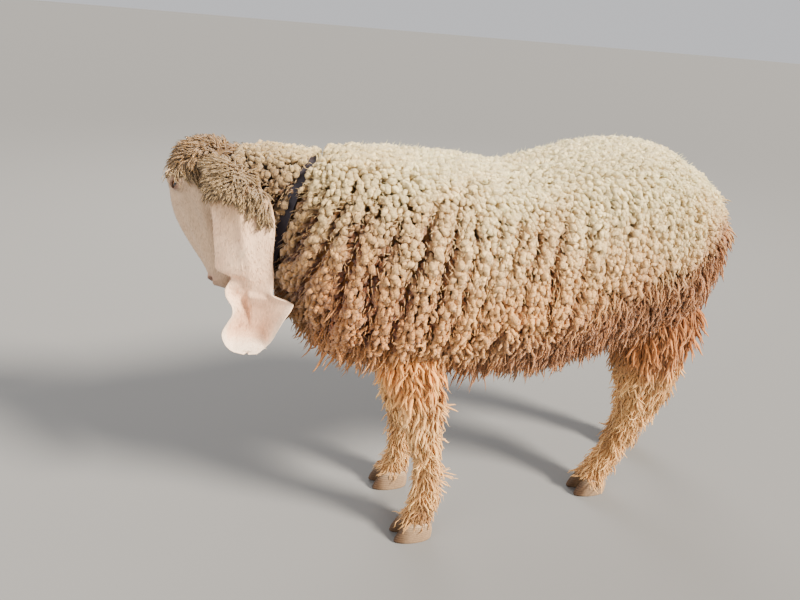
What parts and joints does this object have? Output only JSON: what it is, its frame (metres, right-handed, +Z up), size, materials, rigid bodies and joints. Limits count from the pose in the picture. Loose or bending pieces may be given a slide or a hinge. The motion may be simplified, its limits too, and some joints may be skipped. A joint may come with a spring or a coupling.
{
  "type": "kajli sheep",
  "caption": "Standing long-eared sheep in full curly fleece, head hanging and turned to its right, as a still life-size museum model.",
  "frame": {"origin": "on the floor, under the middle of the animal's bounding box", "axes": "+Z up, the trunk along X with the head at -X and the tail at +X, the animal's right side at +Y"},
  "size_m": [1.1899, 0.4176, 0.8259],
  "materials": {
    "fleece": "matt wool",
    "leg_wool": "matt wool",
    "short_hair": "short matt hair",
    "ear_skin": "soft skin with sparse hair",
    "eye": "glossy",
    "webbing": "worn webbing",
    "hoof_horn": "dull horn"
  },
  "bodies": {
    "root": {"torso": "fleece", "neck": "fleece", "tail": "fleece", "head": "short_hair", "ear_left": "ear_skin", "ear_right": "ear_skin", "eye_left": "eye", "eye_right": "eye", "collar": "webbing", "leg_fore_left": "leg_wool", "leg_fore_right": "leg_wool", "leg_hind_left": "leg_wool", "leg_hind_right": "leg_wool", "shank_fore_left": "leg_wool", "shank_fore_right": "leg_wool", "shank_hind_left": "leg_wool", "shank_hind_right": "leg_wool", "hoof_fore_left": "hoof_horn", "hoof_fore_right": "hoof_horn", "hoof_hind_left": "hoof_horn", "hoof_hind_right": "hoof_horn"}
  },
  "joints": []
}
